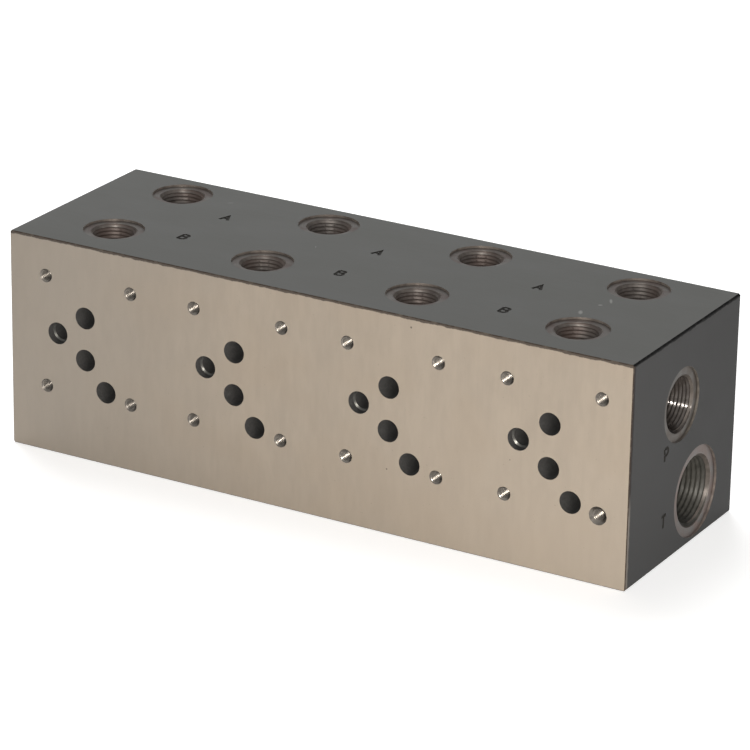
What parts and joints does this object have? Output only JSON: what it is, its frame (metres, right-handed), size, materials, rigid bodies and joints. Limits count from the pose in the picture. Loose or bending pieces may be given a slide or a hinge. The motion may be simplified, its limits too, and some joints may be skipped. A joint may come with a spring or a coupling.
{
  "type": "hydraulic manifold block",
  "caption": "Steel bar manifold for size 05 valves, with drilled pressure and tank galleries, threaded service ports on top and line ports on the ends.",
  "frame": {"origin": "centre of the base", "axes": "+X along the bar, -Y out of the valve face, +Z out of the service ports' face"},
  "size_m": [0.32, 0.105, 0.105],
  "materials": {
    "steel": "valve face ground, other faces milled and dark"
  },
  "bodies": {
    "root": {"manifold_block": "steel"}
  },
  "joints": []
}
